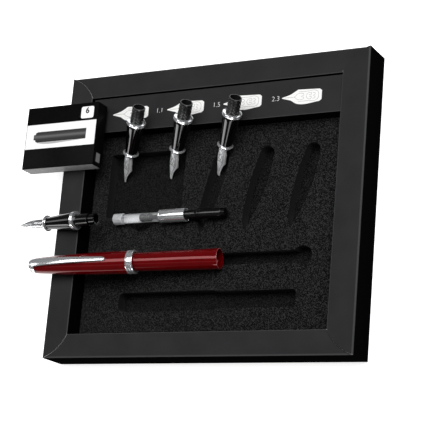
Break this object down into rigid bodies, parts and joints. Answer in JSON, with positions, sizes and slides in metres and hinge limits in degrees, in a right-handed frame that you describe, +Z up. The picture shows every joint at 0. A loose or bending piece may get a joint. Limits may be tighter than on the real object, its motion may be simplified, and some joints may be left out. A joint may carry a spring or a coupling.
{
  "type": "calligraphy set box",
  "caption": "Open board tray with foam insert and nib card, holding a posted fountain pen, italic nib units, a converter and a carton of ink cartridges.",
  "frame": {"origin": "centre of the tray's underside", "axes": "+Z up out of the open tray, +Y towards the nib card, +X to the right along the tray's length"},
  "size_m": [0.2584, 0.2028, 0.0417],
  "materials": {
    "rim_board": "dark charcoal paper-wrapped board",
    "base_board": "dark board",
    "liner_paper": "black paper",
    "foam": "black flocked foam",
    "card_board": "matt charcoal card with white prints",
    "carton_board": "printed gloss carton",
    "cartridge_plastic": "translucent plastic",
    "ink": "black ink",
    "seal": "plastic ball seal",
    "black_lacquer": "polished black",
    "black_thread": "ribbed black plastic",
    "bright_plate": "bright plating",
    "nib_steel": "polished engraved steel",
    "feed_plastic": "black feed",
    "red_lacquer": "deep red gloss lacquer",
    "liner_plastic": "inner cap plastic",
    "clear_plastic": "clear tube",
    "seal_rubber": "black seal"
  },
  "bodies": {
    "tray": {"tray_base": "base_board", "side_frame_left": "rim_board", "side_frame_right": "rim_board", "end_frame_top": "rim_board", "end_frame_bottom": "rim_board", "foam_liner": "liner_paper", "foam_insert": "foam", "nib_card": "card_board"},
    "carton": {"carton_sleeve": "carton_board", "carton_dust_flaps": "carton_board", "ink_cartridges": "cartridge_plastic", "cartridge_ink": "ink", "cartridge_seals": "seal"},
    "carton_flap": {"carton_tuck_flap": "carton_board"},
    "italic_1_1_unit": {"italic_1_1_neck": "black_thread", "italic_1_1_rear_ring": "bright_plate", "italic_1_1_grip": "black_lacquer", "italic_1_1_front_ring": "bright_plate", "italic_1_1_nib": "nib_steel", "italic_1_1_feed": "feed_plastic"},
    "italic_1_5_unit": {"italic_1_5_neck": "black_thread", "italic_1_5_rear_ring": "bright_plate", "italic_1_5_grip": "black_lacquer", "italic_1_5_front_ring": "bright_plate", "italic_1_5_nib": "nib_steel", "italic_1_5_feed": "feed_plastic"},
    "italic_2_3_unit": {"italic_2_3_neck": "black_thread", "italic_2_3_rear_ring": "bright_plate", "italic_2_3_grip": "black_lacquer", "italic_2_3_front_ring": "bright_plate", "italic_2_3_nib": "nib_steel", "italic_2_3_feed": "feed_plastic"},
    "round_unit": {"round_neck": "black_thread", "round_rear_ring": "bright_plate", "round_grip": "black_lacquer", "round_front_ring": "bright_plate", "round_nib": "nib_steel", "round_feed": "feed_plastic", "round_rear_collar": "black_thread"},
    "pen": {"pen_barrel": "red_lacquer"},
    "pen_cap": {"cap_shell": "red_lacquer", "cap_ring": "bright_plate", "cap_liner": "liner_plastic", "cap_finial": "bright_plate"},
    "clip": {"cap_clip": "bright_plate"},
    "converter": {"converter_mouth": "clear_plastic", "converter_tube": "clear_plastic", "converter_sleeve": "bright_plate"},
    "piston": {"piston_rod": "black_lacquer", "piston_seal": "seal_rubber"},
    "knob": {"piston_knob": "black_thread", "knob_nub": "black_thread"}
  },
  "joints": [
    {"name": "carton_lift", "type": "slide", "parent": "tray", "child": "carton", "axis": [0, 0, 1], "range_m": [0, 0.06]},
    {"name": "flap_hinge", "type": "hinge", "parent": "carton", "child": "carton_flap", "pos_m": [-0.1121, 0.0314, 0.03559], "axis": [-1, 0, 0], "range_deg": [0, 130]},
    {"name": "italic_1_1_unit_lift", "type": "slide", "parent": "tray", "child": "italic_1_1_unit", "axis": [0, 0, 1], "range_m": [0, 0.06]},
    {"name": "italic_1_5_unit_lift", "type": "slide", "parent": "tray", "child": "italic_1_5_unit", "axis": [0, 0, 1], "range_m": [0, 0.06]},
    {"name": "italic_2_3_unit_lift", "type": "slide", "parent": "tray", "child": "italic_2_3_unit", "axis": [0, 0, 1], "range_m": [0, 0.06]},
    {"name": "round_unit_lift", "type": "slide", "parent": "tray", "child": "round_unit", "axis": [0, 0, 1], "range_m": [0, 0.06]},
    {"name": "pen_lift", "type": "slide", "parent": "tray", "child": "pen", "axis": [0, 0, 1], "range_m": [0, 0.06]},
    {"name": "cap_pull", "type": "slide", "parent": "pen", "child": "pen_cap", "axis": [-0.9856, -0.031, 0.1662], "range_m": [0, 0.035]},
    {"name": "clip_flex", "type": "hinge", "parent": "pen_cap", "child": "clip", "pos_m": [-0.12062, -0.03853, 0.04014], "axis": [0.0452, -0.9936, 0.1036], "range_deg": [0, 4], "stiffness_Nm_per_rad": 2},
    {"name": "converter_lift", "type": "slide", "parent": "tray", "child": "converter", "axis": [0, 0, 1], "range_m": [0, 0.06]},
    {"name": "piston_slide", "type": "slide", "parent": "converter", "child": "piston", "axis": [0.9997, 0, 0.0224], "range_m": [-0.0075, 0.005]},
    {"name": "knob_turn", "type": "hinge", "parent": "piston", "child": "knob", "pos_m": [-0.00802, -0.0029, 0.01563], "axis": [0.9997, 0, 0.0224], "range_deg": [-1085, 725]}
  ],
  "couplings": [
    {"joint": "knob_turn", "follows": "piston_slide", "rad_per_m": 2513.3}
  ]
}
